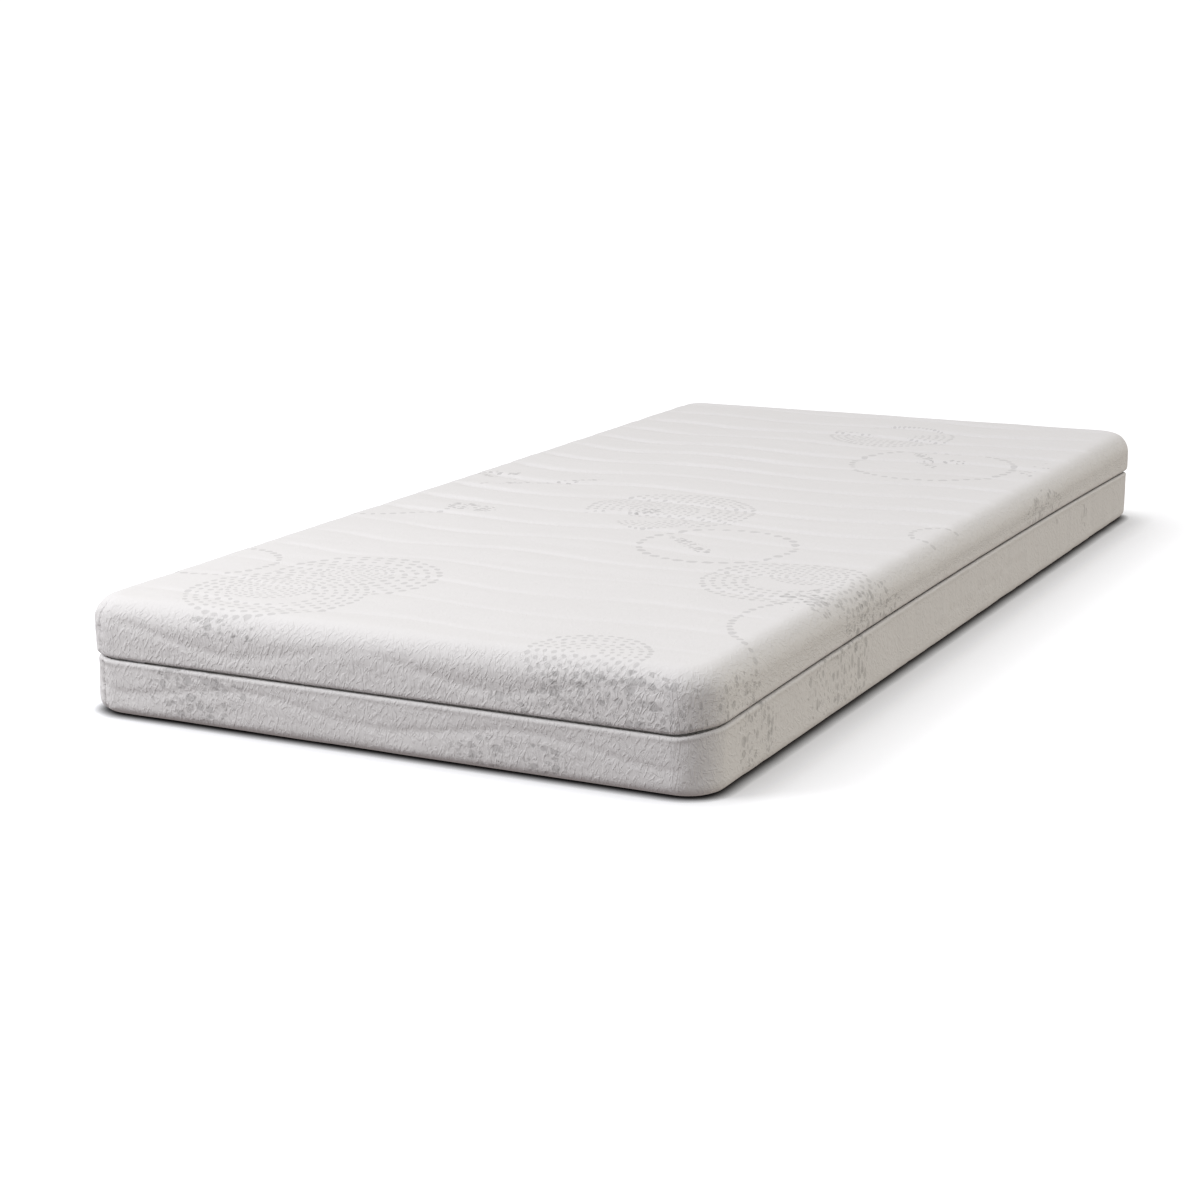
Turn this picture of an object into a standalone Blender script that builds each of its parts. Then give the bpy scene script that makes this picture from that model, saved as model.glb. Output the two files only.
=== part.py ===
"""Single-bed memory foam mattress in a quilted cover of two halves, joined by an all-round zip.

Frame: origin at the centre of the underside, X across the width, Y along the length with the
foot end at -Y, Z up. Metres. Every sub-part is one named object with its own material.
"""

import math

import bmesh
import bpy

# Driving dimensions.
WIDTH = 0.900
LENGTH = 1.900
HEIGHT = 0.156
CORNER_RADIUS = 0.055  # of the plan outline
TOP_EDGE_RADIUS = 0.034
BASE_EDGE_RADIUS = 0.016
GAP = 0.0003  # between pieces that touch

# The line where the two halves meet. It runs level round three sides, and rises and bows on the
# +X long side, where the upper half has ridden up.
SEAM_Z = 0.0755
BOW_TOP_Z = 0.094
BOW_TOP_Y = 0.05
BOW_FALL = 0.011  # per square metre along the side
RAMP_START_X = WIDTH / 2 - CORNER_RADIUS

# The quilted cover: face fabric, wadding and lining, closed by a rolled lip along the zip.
FACE_THICKNESS = 0.0012
LINING_THICKNESS = 0.0012
LIP_RADIUS = 0.0068
QUILT_THICKNESS = 2 * LIP_RADIUS
GROOVE_HEIGHT = 0.0028  # between the two lips at their closest
HEM_TOP = 0.0120  # where the turned hem ends, measured from the seam plane
SEAM_STRIP_WIDTH = 0.0026
SEAM_STRIP_THICKNESS = 0.0008
SEAM_ANGLE = math.radians(61)  # from the side's normal towards the end's normal
SEAM_ARC_END = 140  # degrees: how far the strip climbs over the rounded edge, from 180

# The zip. Heights are measured from the seam plane, insets from the outline.
TAPE_THICKNESS = 0.0005
TAPE_TOP = 0.0160
CHAIN_SLIT = 0.0007  # half the slit that lets the slider's post through
COIL_TOP = 0.0022
COIL_THICKNESS = 0.0017
TAPE_INSET = QUILT_THICKNESS + GAP
COIL_INSET = TAPE_INSET - GAP - COIL_THICKNESS
SLIDER_X = -0.375  # parked next to the foot end's left corner
SLIDER_LENGTH = 0.010
SLIDER_HALF_HEIGHT = 0.0024
PLATE_THICKNESS = 0.0008
POST_LENGTH = 0.003
POST_HALF_HEIGHT = 0.0004
BRIDGE_LENGTH = 0.005
BRIDGE_HALF_HEIGHT = 0.0004
BRIDGE_BAR = 0.0007
PIVOT_TO_PLATE = 0.0010
PIVOT_TO_BRIDGE = 0.0007
STOP_LENGTH = 0.003
STOP_SPACING = 0.0004
TAB_LENGTH = 0.022
TAB_THICKNESS = 0.0008
TAB_HALF_HEIGHT = 0.0012
TAB_SLOT_START = 0.0004
TAB_SLOT_END = 0.0033
TAB_SLOT_HALF_HEIGHT = 0.0007

# The core: two glued slabs of foam in a knitted sleeve.
CORE_INSET = 0.0172
SLEEVE_THICKNESS = 0.0006
MEMORY_FOAM_HEIGHT = 0.045
CORE_EDGE_RADIUS = 0.016  # of the top slab's upper edge
SLEEVE_END_MARGIN = 0.012  # the sleeve stops short of the slabs' ends

HALF = HEIGHT / 2
FOLLOW_SEAM = 0.017  # heights up to this follow the seam line
IGNORE_SEAM = 0.044  # and heights from here on don't
CORNER_STEPS = 6
SIDE_STEPS = 5  # stretches along each long side, so that it can follow the seam line
ARC_STEPS = 5
MIN_RADIUS = 0.002

COLOURS = {
    "knit": (0.83, 0.82, 0.81, 1.0),
    "wadding": (0.90, 0.90, 0.89, 1.0),
    "lining": (0.84, 0.84, 0.83, 1.0),
    "tape": (0.80, 0.79, 0.77, 1.0),
    "coil": (0.78, 0.77, 0.75, 1.0),
    "thread": (0.74, 0.73, 0.73, 1.0),
    "metal": (0.62, 0.62, 0.63, 1.0),
    "base_foam": (0.86, 0.86, 0.83, 1.0),
    "memory_foam": (0.93, 0.89, 0.76, 1.0),
    "sleeve": (0.92, 0.92, 0.91, 1.0),
}


def clear_scene():
    for item in list(bpy.data.objects):
        bpy.data.objects.remove(item, do_unlink=True)


def finish(node, colour, roughness=0.9, metallic=0.0):
    """Give the object its own Principled material."""
    material = bpy.data.materials.new(node.name)
    material.use_nodes = True
    shader = material.node_tree.nodes["Principled BSDF"]
    shader.inputs["Base Color"].default_value = COLOURS[colour]
    shader.inputs["Roughness"].default_value = roughness
    shader.inputs["Metallic"].default_value = metallic
    node.data.materials.append(material)
    return node


def mesh_object(name, build):
    """Make an object from a function that fills a bmesh."""
    shape = bmesh.new()
    build(shape)
    bmesh.ops.recalc_face_normals(shape, faces=shape.faces)
    mesh = bpy.data.meshes.new(name)
    shape.to_mesh(mesh)
    shape.free()
    item = bpy.data.objects.new(name, mesh)
    bpy.context.collection.objects.link(item)
    return item


def arc(centre, radius, start, stop, steps=ARC_STEPS):
    """Points along an arc; angles in degrees, the first coordinate along 0 degrees."""
    turn = (math.radians(start + (stop - start) * k / steps) for k in range(steps + 1))
    return [(centre[0] + radius * math.cos(a), centre[1] + radius * math.sin(a)) for a in turn]


def outline_stations(inset):
    """Points and outward normals round the plan, anticlockwise from the left end of the foot side."""
    radius = max(CORNER_RADIUS - inset, MIN_RADIUS)
    x = WIDTH / 2 - inset - radius
    y = LENGTH / 2 - inset - radius
    stations = []
    for (cx, cy), start in (((x, -y), -90), ((x, y), 0), ((-x, y), 90), ((-x, -y), 180)):
        normals = arc((0, 0), 1, start, start + 90, CORNER_STEPS)
        stations += [((cx + radius * nx, cy + radius * ny), (nx, ny)) for nx, ny in normals]
        if start in (-90, 90):  # a long side follows
            nx, ny = normals[-1]
            for k in range(1, SIDE_STEPS):
                along = cy * (1 - 2 * k / SIDE_STEPS)
                stations.append(((cx + radius * nx, along), (nx, ny)))
    return stations


def outline(inset):
    """The rounded plan outline as points only."""
    return [point for point, _ in outline_stations(inset)]


def loft(shape, rings, closed=False):
    """Join rings of points with quads. The first and last meet each other or get flat caps."""
    loops = [[shape.verts.new(point) for point in ring] for ring in rings]
    count = len(loops[0])
    pairs = list(zip(loops, loops[1:]))
    if closed:
        pairs.append((loops[-1], loops[0]))
    else:
        shape.faces.new(loops[0])
        shape.faces.new(loops[-1])
    for one, two in pairs:
        for k in range(count):
            shape.faces.new((one[k], one[(k + 1) % count], two[(k + 1) % count], two[k]))


def seam_line(x, y):
    """The height of the line where the halves meet, at a place on the outline."""
    bow = BOW_TOP_Z - BOW_FALL * (y - BOW_TOP_Y) ** 2
    ramp = min(max((x - RAMP_START_X) / (WIDTH / 2 - RAMP_START_X), 0), 1)
    ease = ramp * ramp * (3 - 2 * ramp)
    return SEAM_Z + ease * (bow - SEAM_Z)


def height_at(x, y, height, up):
    """A height above or below the seam: near it along the seam line, further off from mid-height."""
    share = min(max((IGNORE_SEAM - height) / (IGNORE_SEAM - FOLLOW_SEAM), 0), 1)
    return HALF + up * height + share * (seam_line(x, y) - HALF)


def ring_at(inset, height, up):
    """One outline ring at a height from the seam, upwards or downwards."""
    return [(x, y, height_at(x, y, height, up)) for x, y in outline(inset)]


def edge_arc(offset, edge_radius, outward):
    """The rounded top edge of a skin that lies `offset` inside the cover's surface."""
    radius = max(edge_radius - offset, MIN_RADIUS)
    centre = (offset + radius, HALF - offset - radius)
    points = arc(centre, radius, 90, 180)
    return points if outward else points[::-1]


def lip_arc(radius, outward):
    """The rolled lip, from the outer side round to the zip side, or back."""
    points = arc((LIP_RADIUS, GROOVE_HEIGHT / 2 + LIP_RADIUS), radius, 180, 360, 2 * ARC_STEPS)
    return points if outward else points[::-1]


def cover_skin(name, profile, up, colour):
    """A cup-shaped skin of one cover half, from a profile of (inset, height) points."""
    item = mesh_object(name, lambda shape: loft(shape, [ring_at(i, h, up) for i, h in profile]))
    return finish(item, colour)


def cover_half(prefix, up, edge_radius):
    """Face fabric, wadding and lining of one half."""
    inner = LIP_RADIUS - FACE_THICKNESS
    face = edge_arc(0, edge_radius, True) + lip_arc(LIP_RADIUS, True)
    face += [(QUILT_THICKNESS, HEM_TOP), (QUILT_THICKNESS - FACE_THICKNESS, HEM_TOP)]
    face += lip_arc(inner, False) + edge_arc(FACE_THICKNESS, edge_radius, False)
    cover_skin(prefix + "_cover_face_fabric", face, up, "knit")

    outer = FACE_THICKNESS + GAP
    wadding = edge_arc(outer, edge_radius, True) + lip_arc(LIP_RADIUS - outer, True)
    wadding += edge_arc(QUILT_THICKNESS - outer, edge_radius, False)
    cover_skin(prefix + "_cover_wadding", wadding, up, "wadding")

    start = HEM_TOP + GAP
    outer = QUILT_THICKNESS - LINING_THICKNESS
    lining = edge_arc(outer, edge_radius, True)
    lining += [(outer, start), (QUILT_THICKNESS, start)]
    lining += edge_arc(QUILT_THICKNESS, edge_radius, False)
    cover_skin(prefix + "_cover_lining", lining, up, "lining")


def zip_tape(prefix, up):
    """A woven tape that runs all round, sewn behind the lip."""
    section = [
        (TAPE_INSET, CHAIN_SLIT),
        (TAPE_INSET, TAPE_TOP),
        (TAPE_INSET + TAPE_THICKNESS, TAPE_TOP),
        (TAPE_INSET + TAPE_THICKNESS, CHAIN_SLIT),
    ]
    rings = [ring_at(inset, height, up) for inset, height in section]
    item = mesh_object(prefix + "_zip_tape", lambda shape: loft(shape, rings, closed=True))
    return finish(item, "tape")


def chain_section(point, normal, up):
    """The coil's rectangular section at a point of the outline, across its normal."""
    corners = ((0, CHAIN_SLIT), (0, COIL_TOP), (COIL_THICKNESS, COIL_TOP), (COIL_THICKNESS, CHAIN_SLIT))
    return [
        (point[0] - normal[0] * depth, point[1] - normal[1] * depth, seam_line(*point) + up * height)
        for depth, height in corners
    ]


def zip_coil(prefix, up, start_x, end_x):
    """The row of teeth, as one band that starts and ends on the foot side."""
    foot = -LENGTH / 2 + COIL_INSET
    stations = [((start_x, foot), (0, -1))] + outline_stations(COIL_INSET) + [((end_x, foot), (0, -1))]
    rings = [chain_section(point, normal, up) for point, normal in stations]
    item = mesh_object(prefix + "_zip_coil", lambda shape: loft(shape, rings))
    return finish(item, "coil", 0.5)


def block(name, x, depth, z):
    """A box on the foot side: x range, inset range from the foot face, height range."""
    low, high = -LENGTH / 2 + depth[0], -LENGTH / 2 + depth[1]

    def build(shape):
        rings = [
            [(px, low, z[0]), (px, high, z[0]), (px, high, z[1]), (px, low, z[1])] for px in x
        ]
        loft(shape, rings)

    return mesh_object(name, build)


def chain_block(name, start_x, length, up):
    """A stop, pin or box as wide as the coil, on one tape."""
    z = sorted((SEAM_Z + up * CHAIN_SLIT, SEAM_Z + up * COIL_TOP))
    depth = (COIL_INSET, COIL_INSET + COIL_THICKNESS)
    item = block(name, (start_x, start_x + length), depth, z)
    return finish(item, "metal", 0.35, 1.0)


def boolean(target, tool, operation):
    """Add an exact Boolean and hide its tool."""
    modifier = target.modifiers.new(tool.name, "BOOLEAN")
    modifier.operation = operation
    modifier.object = tool
    tool.hide_render = True
    tool.display_type = "WIRE"


def slider_depths():
    """Insets of the slider's outer plate, inner plate and the pull's pivot."""
    outer = COIL_INSET - GAP - PLATE_THICKNESS
    inner = TAPE_INSET + TAPE_THICKNESS + GAP
    return outer, inner, outer - PIVOT_TO_PLATE


def zip_slider():
    """Two plates joined by a post between the coils, with a bridge for the pull."""
    outer, inner, pivot = slider_depths()
    half = SLIDER_LENGTH / 2
    x = (SLIDER_X - half, SLIDER_X + half)
    z = (SEAM_Z - SLIDER_HALF_HEIGHT, SEAM_Z + SLIDER_HALF_HEIGHT)
    slider = block("zip_slider", x, (outer, outer + PLATE_THICKNESS), z)
    back = block("cutter_slider_back", x, (inner, inner + PLATE_THICKNESS), z)
    middle = PLATE_THICKNESS / 2
    post_x = (SLIDER_X - POST_LENGTH / 2, SLIDER_X + POST_LENGTH / 2)
    post_z = (SEAM_Z - POST_HALF_HEIGHT, SEAM_Z + POST_HALF_HEIGHT)
    post = block("cutter_slider_post", post_x, (outer + middle, inner + middle), post_z)
    bridge_x = (SLIDER_X - BRIDGE_LENGTH / 2, SLIDER_X + BRIDGE_LENGTH / 2)
    bridge_z = (SEAM_Z - BRIDGE_HALF_HEIGHT, SEAM_Z + BRIDGE_HALF_HEIGHT)
    top = pivot - PIVOT_TO_BRIDGE
    bridge = block("cutter_slider_bridge", bridge_x, (top - BRIDGE_BAR, outer + middle), bridge_z)
    eye_x = (bridge_x[0] + BRIDGE_BAR, bridge_x[1] - BRIDGE_BAR)
    eye_z = (SEAM_Z - SLIDER_HALF_HEIGHT, SEAM_Z + SLIDER_HALF_HEIGHT)
    eye = block("cutter_slider_eye", eye_x, (top, outer), eye_z)
    for tool in (back, post, bridge):
        boolean(slider, tool, "UNION")
    boolean(slider, eye, "DIFFERENCE")
    return finish(slider, "metal", 0.35, 1.0)


def pull_tab():
    """A flat pull whose end bar turns under the slider's bridge; its origin is on the pivot."""
    pivot = slider_depths()[2]
    x = (SLIDER_X - TAB_SLOT_START, SLIDER_X + TAB_LENGTH)
    depth = (pivot - TAB_THICKNESS / 2, pivot + TAB_THICKNESS / 2)
    tab = block("zip_pull_tab", x, depth, (SEAM_Z - TAB_HALF_HEIGHT, SEAM_Z + TAB_HALF_HEIGHT))
    slot_x = (SLIDER_X + TAB_SLOT_START, SLIDER_X + TAB_SLOT_END)
    slot_z = (SEAM_Z - TAB_SLOT_HALF_HEIGHT, SEAM_Z + TAB_SLOT_HALF_HEIGHT)
    slot = block("cutter_tab_slot", slot_x, (depth[0] - GAP, depth[1] + GAP), slot_z)
    boolean(tab, slot, "DIFFERENCE")
    axis = bpy.data.objects.new("pull_pivot", None)
    axis.location = (SLIDER_X, -LENGTH / 2 + pivot, SEAM_Z)
    bpy.context.collection.objects.link(axis)
    for item in (tab, slot):
        item.data.transform(axis.matrix_basis.inverted())
        item.parent = axis
    return finish(tab, "metal", 0.35, 1.0)


def corner_seam(name, up, edge_radius, corner_x, corner_y):
    """A stitched seam strip that climbs a corner from the lip and runs over the edge."""
    centre = (corner_x * (WIDTH / 2 - CORNER_RADIUS), corner_y * (LENGTH / 2 - CORNER_RADIUS))
    normal = (corner_x * math.cos(SEAM_ANGLE), corner_y * math.sin(SEAM_ANGLE))
    across = (-normal[1] * SEAM_STRIP_WIDTH / 2, normal[0] * SEAM_STRIP_WIDTH / 2)
    edge = (edge_radius, HALF - edge_radius)

    def path(offset):
        start = (-offset, GROOVE_HEIGHT / 2 + LIP_RADIUS)
        return [start] + arc(edge, edge_radius + offset, 180, SEAM_ARC_END)

    def build(shape):
        near, far = path(GAP), path(GAP + SEAM_STRIP_THICKNESS)
        rings = []
        for inside, outside in zip(near, far):
            ring = []
            for (inset, height), side in ((inside, 1), (outside, 1), (outside, -1), (inside, -1)):
                reach = CORNER_RADIUS - inset
                x = centre[0] + normal[0] * reach + side * across[0]
                y = centre[1] + normal[1] * reach + side * across[1]
                ring.append((x, y, height_at(x, y, height, up)))
            rings.append(ring)
        loft(shape, rings)

    return finish(mesh_object(name, build), "thread")


def slab(name, bottom, top, edge_radius, colour):
    """A foam slab whose upper edge is rounded, or square where the radius is 0."""
    section = [(CORE_INSET, bottom), (CORE_INSET, top - edge_radius)]
    if edge_radius:
        centre = (CORE_INSET + edge_radius, top - edge_radius)
        section += arc(centre, edge_radius, 180, 90)[1:]
    rings = [[(x, y, height) for x, y in outline(inset)] for inset, height in section]
    return finish(mesh_object(name, lambda shape: loft(shape, rings)), colour, 0.95)


def sleeve(bottom, top):
    """A knitted tube drawn over both slabs, open at its two ends."""
    reach = LENGTH / 2 - CORNER_RADIUS - SLEEVE_END_MARGIN

    def section(grow):
        x = WIDTH / 2 - CORE_INSET + grow
        radius = CORE_EDGE_RADIUS + grow
        centre = (x - radius, top + grow - radius)
        right = [(x, bottom - grow)] + arc(centre, radius, 0, 90)
        return right + [(-px, pz) for px, pz in right[::-1]]

    outer, inner = section(GAP + SLEEVE_THICKNESS), section(GAP)
    rings = [
        [(x, y, z) for x, z in points]
        for points, y in ((outer, -reach), (outer, reach), (inner, reach), (inner, -reach))
    ]
    item = mesh_object("core_sleeve", lambda shape: loft(shape, rings, closed=True))
    return finish(item, "sleeve")


clear_scene()
cover_half("lower", -1, BASE_EDGE_RADIUS)
cover_half("upper", 1, TOP_EDGE_RADIUS)

half_slider = SLIDER_LENGTH / 2
stop_x = SLIDER_X - half_slider - STOP_SPACING - STOP_LENGTH
pin_x = stop_x - STOP_SPACING - STOP_LENGTH
for side, direction in (("lower", -1), ("upper", 1)):
    zip_tape(side, direction)
    zip_coil(side, direction, SLIDER_X + half_slider + STOP_SPACING, pin_x - GAP)
    chain_block(side + "_zip_top_stop", stop_x, STOP_LENGTH, direction)
chain_block("zip_insertion_pin", pin_x, STOP_LENGTH, 1)
chain_block("zip_retainer_box", pin_x, STOP_LENGTH, -1)
zip_slider()
pull_tab()

corner_seam("upper_corner_seam_foot_left", 1, TOP_EDGE_RADIUS, -1, -1)
corner_seam("upper_corner_seam_head_right", 1, TOP_EDGE_RADIUS, 1, 1)
corner_seam("lower_corner_seam_foot_left", -1, BASE_EDGE_RADIUS, -1, -1)
corner_seam("lower_corner_seam_head_right", -1, BASE_EDGE_RADIUS, 1, 1)

core_bottom = QUILT_THICKNESS + 3 * GAP + SLEEVE_THICKNESS
core_top = HEIGHT - core_bottom
foam_joint = core_top - MEMORY_FOAM_HEIGHT
slab("base_foam", core_bottom, foam_joint - GAP, 0, "base_foam")
slab("memory_foam", foam_joint, core_top, CORE_EDGE_RADIUS, "memory_foam")
sleeve(core_bottom, core_top)
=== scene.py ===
"""Looks for the memory foam mattress: quilted knit cover in two zipped halves around a foam core.

Metres, in the CAD frame: origin under the middle, foot end at -Y, Z up. Cloth coordinates (u, v)
are the cover unrolled flat: x and y on the panel, and then the length over the edge and down the
side, along the outline's normal.
"""

import math

import bpy
import numpy as np
from mathutils import Matrix, Vector


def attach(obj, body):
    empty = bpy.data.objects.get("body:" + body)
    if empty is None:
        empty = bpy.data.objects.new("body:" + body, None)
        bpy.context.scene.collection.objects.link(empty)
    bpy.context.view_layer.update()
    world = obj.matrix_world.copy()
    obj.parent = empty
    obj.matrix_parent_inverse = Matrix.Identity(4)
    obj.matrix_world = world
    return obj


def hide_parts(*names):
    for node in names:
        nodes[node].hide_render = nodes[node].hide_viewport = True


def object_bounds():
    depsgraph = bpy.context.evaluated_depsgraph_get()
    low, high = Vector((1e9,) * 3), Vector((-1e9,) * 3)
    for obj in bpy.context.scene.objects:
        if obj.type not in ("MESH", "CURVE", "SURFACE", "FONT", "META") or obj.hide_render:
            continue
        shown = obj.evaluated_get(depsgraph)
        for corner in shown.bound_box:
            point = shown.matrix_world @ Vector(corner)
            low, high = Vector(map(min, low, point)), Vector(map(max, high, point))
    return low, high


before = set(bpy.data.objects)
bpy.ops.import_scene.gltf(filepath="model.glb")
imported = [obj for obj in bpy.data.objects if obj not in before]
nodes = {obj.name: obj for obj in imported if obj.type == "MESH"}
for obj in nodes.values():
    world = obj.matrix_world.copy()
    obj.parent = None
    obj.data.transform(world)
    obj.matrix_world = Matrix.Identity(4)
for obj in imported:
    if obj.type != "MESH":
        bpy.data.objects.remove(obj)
cad_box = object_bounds()

# ---------------------------------------------------------------- the design's own dimensions
WIDTH, LENGTH, HEIGHT = (round(high - low, 4) for low, high in zip(*cad_box))
HALF = HEIGHT / 2
CORNER_RADIUS = 0.055
EDGE_RADIUS = {1: 0.034, -1: 0.016}  # of the upper half's top edge and the lower half's base edge
SEAM_Z = 0.0755
BOW_TOP_Z = 0.094
BOW_TOP_Y = 0.05
BOW_FALL = 0.011
RAMP_START_X = WIDTH / 2 - CORNER_RADIUS
FOLLOW_SEAM = 0.017
IGNORE_SEAM = 0.044
GROOVE = 0.0028
LIP_RADIUS = 0.0068
QUILT = 2 * LIP_RADIUS
HEM_TOP = 0.0120
MIN_RADIUS = 0.002
LOWER_STEP = 0.0023
WADDING_TOP = 0.0037
WADDING_BASE = 0.0099
LINING_DEPTH = 0.0133
DEEPEST = 0.0050  # the most that quilting and seams press into the wadding
LIP_FADE = 110  # degrees round the lip over which the relief dies out
SEAM_ANGLE = math.radians(61)
SEAM_STARTS = 0.45  # the share of the rounded edge that a corner seam leaves plain
SEAM_CORNERS = {"foot_left": (-1, -1), "head_right": (1, 1)}
TAPE_INSET = 0.0139
TAPE_THICKNESS = 0.0005
TAPE_TOP = 0.0160
CHAIN_SLIT = 0.0007
COIL_INSET = 0.0119
COIL_DEPTH = 0.0019
COIL_TOP = 0.0022
TEETH_START_X = -0.3696
TEETH_END_X = -0.3871
CORE_INSET = 0.0172
CORE_BOTTOM = 0.0151
CORE_TOP = 0.1409
FOAM_JOINT = 0.0959
FOAM_GAP = 0.0003  # left under the joint, so that the two slabs do not touch
CORE_EDGE_RADIUS = 0.016
SLEEVE_END_MARGIN = 0.012
KNIT_COLOUR = (0.815, 0.812, 0.815)
METAL_NODES = (
    "zip_slider",
    "zip_pull_tab",
    "zip_insertion_pin",
    "zip_retainer_box",
    "upper_zip_top_stop",
    "lower_zip_top_stop",
)
NAMES = {1: "upper", -1: "lower"}
FOCAL_LENGTH = 71.37
CAMERA_PLACE = (1.5005, -3.3262, 0.8578)
CAMERA_TURN = (-26.645, -13.327, -0.2195)  # yaw, pitch and roll in degrees
KEY_PLACE = (-2.2, -2.6, 2.2)


def seam_line(x, y):
    """The height of the line where the halves meet, at a place on the outline."""
    bow = BOW_TOP_Z - BOW_FALL * (y - BOW_TOP_Y) ** 2
    ramp = np.clip((x - RAMP_START_X) / (WIDTH / 2 - RAMP_START_X), 0, 1)
    return SEAM_Z + ramp * ramp * (3 - 2 * ramp) * (bow - SEAM_Z)


def height_at(x, y, height, up):
    """A height above or below the seam: near it along the seam line, further off from mid-height."""
    share = np.clip((IGNORE_SEAM - height) / (IGNORE_SEAM - FOLLOW_SEAM), 0, 1)
    return HALF + up * height + share * (seam_line(x, y) - HALF)


# ---------------------------------------------------------------- camera, floor and light
def make_camera():
    data = bpy.data.cameras.new("camera")
    data.sensor_width = 36
    data.lens = FOCAL_LENGTH
    data.clip_end = 200
    item = bpy.data.objects.new("camera", data)
    bpy.context.scene.collection.objects.link(item)
    yaw, pitch, roll = (math.radians(a) for a in CAMERA_TURN)
    ahead = Vector((math.sin(yaw) * math.cos(pitch), math.cos(yaw) * math.cos(pitch), math.sin(pitch)))
    right = Vector((math.cos(yaw), -math.sin(yaw), 0))
    over = right.cross(ahead)
    across = math.cos(roll) * right + math.sin(roll) * over
    above = math.cos(roll) * over - math.sin(roll) * right
    turned = Matrix((across, above, -ahead)).transposed().to_4x4()
    item.matrix_world = Matrix.Translation(CAMERA_PLACE) @ turned
    bpy.context.scene.camera = item


class Nodes:
    """Short helpers to write a node tree."""

    def __init__(self, tree):
        self.tree = tree
        self.tree.nodes.clear()

    def add(self, kind, **settings):
        node = self.tree.nodes.new(kind)
        for name, value in settings.items():
            setattr(node, name, value)
        return node

    def plug(self, socket, value):
        if isinstance(value, bpy.types.NodeSocket):
            self.tree.links.new(value, socket)
        elif value is not None:
            socket.default_value = value

    def math(self, operation, a, b=None, c=None, clamp=False):
        node = self.add("ShaderNodeMath", operation=operation, use_clamp=clamp)
        for socket, value in zip(node.inputs, (a, b, c)):
            self.plug(socket, value)
        return node.outputs[0]

    def vector(self, operation, a, b=None, out=0, scale=None):
        node = self.add("ShaderNodeVectorMath", operation=operation)
        self.plug(node.inputs[0], a)
        self.plug(node.inputs[1], b)
        if scale is not None:
            self.plug(node.inputs["Scale"], scale)
        return node.outputs[out]

    def split(self, vector):
        node = self.add("ShaderNodeSeparateXYZ")
        self.plug(node.inputs[0], vector)
        return node.outputs

    def join(self, x, y, z=0.0):
        node = self.add("ShaderNodeCombineXYZ")
        for socket, value in zip(node.inputs, (x, y, z)):
            self.plug(socket, value)
        return node.outputs[0]

    def ramp(self, value, low, high, out_low=0.0, out_high=1.0, smooth=True):
        node = self.add("ShaderNodeMapRange")
        node.interpolation_type = "SMOOTHSTEP" if smooth else "LINEAR"
        for name, number in zip(
            ("Value", "From Min", "From Max", "To Min", "To Max"), (value, low, high, out_low, out_high)
        ):
            self.plug(node.inputs[name], number)
        return node.outputs[0]

    def mix(self, factor, a, b, kind="RGBA", blend="MIX"):
        node = self.add("ShaderNodeMix", data_type=kind)
        if kind == "RGBA":
            node.blend_type = blend
        of_kind = [s for s in node.inputs if s.enabled and s.name in "AB"]
        self.plug([s for s in node.inputs if s.enabled and s.name == "Factor"][0], factor)
        self.plug(of_kind[0], a)
        self.plug(of_kind[1], b)
        return [s for s in node.outputs if s.enabled][0]

    def noise(self, vector, scale, detail=2.0, roughness=0.5, distortion=0.0):
        node = self.add("ShaderNodeTexNoise")
        self.plug(node.inputs["Vector"], vector)
        for name, number in zip(
            ("Scale", "Detail", "Roughness", "Distortion"), (scale, detail, roughness, distortion)
        ):
            node.inputs[name].default_value = number
        return node.outputs[0]

    def cells(self, vector, scale, randomness=1.0, feature="F1"):
        node = self.add("ShaderNodeTexVoronoi", feature=feature)
        self.plug(node.inputs["Vector"], vector)
        node.inputs["Scale"].default_value = scale
        node.inputs["Randomness"].default_value = randomness
        return node

    def bump(self, height, distance, strength=1.0, normal=None):
        node = self.add("ShaderNodeBump")
        self.plug(node.inputs["Height"], height)
        node.inputs["Distance"].default_value = distance
        node.inputs["Strength"].default_value = strength
        self.plug(node.inputs["Normal"], normal)
        return node.outputs[0]


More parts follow.
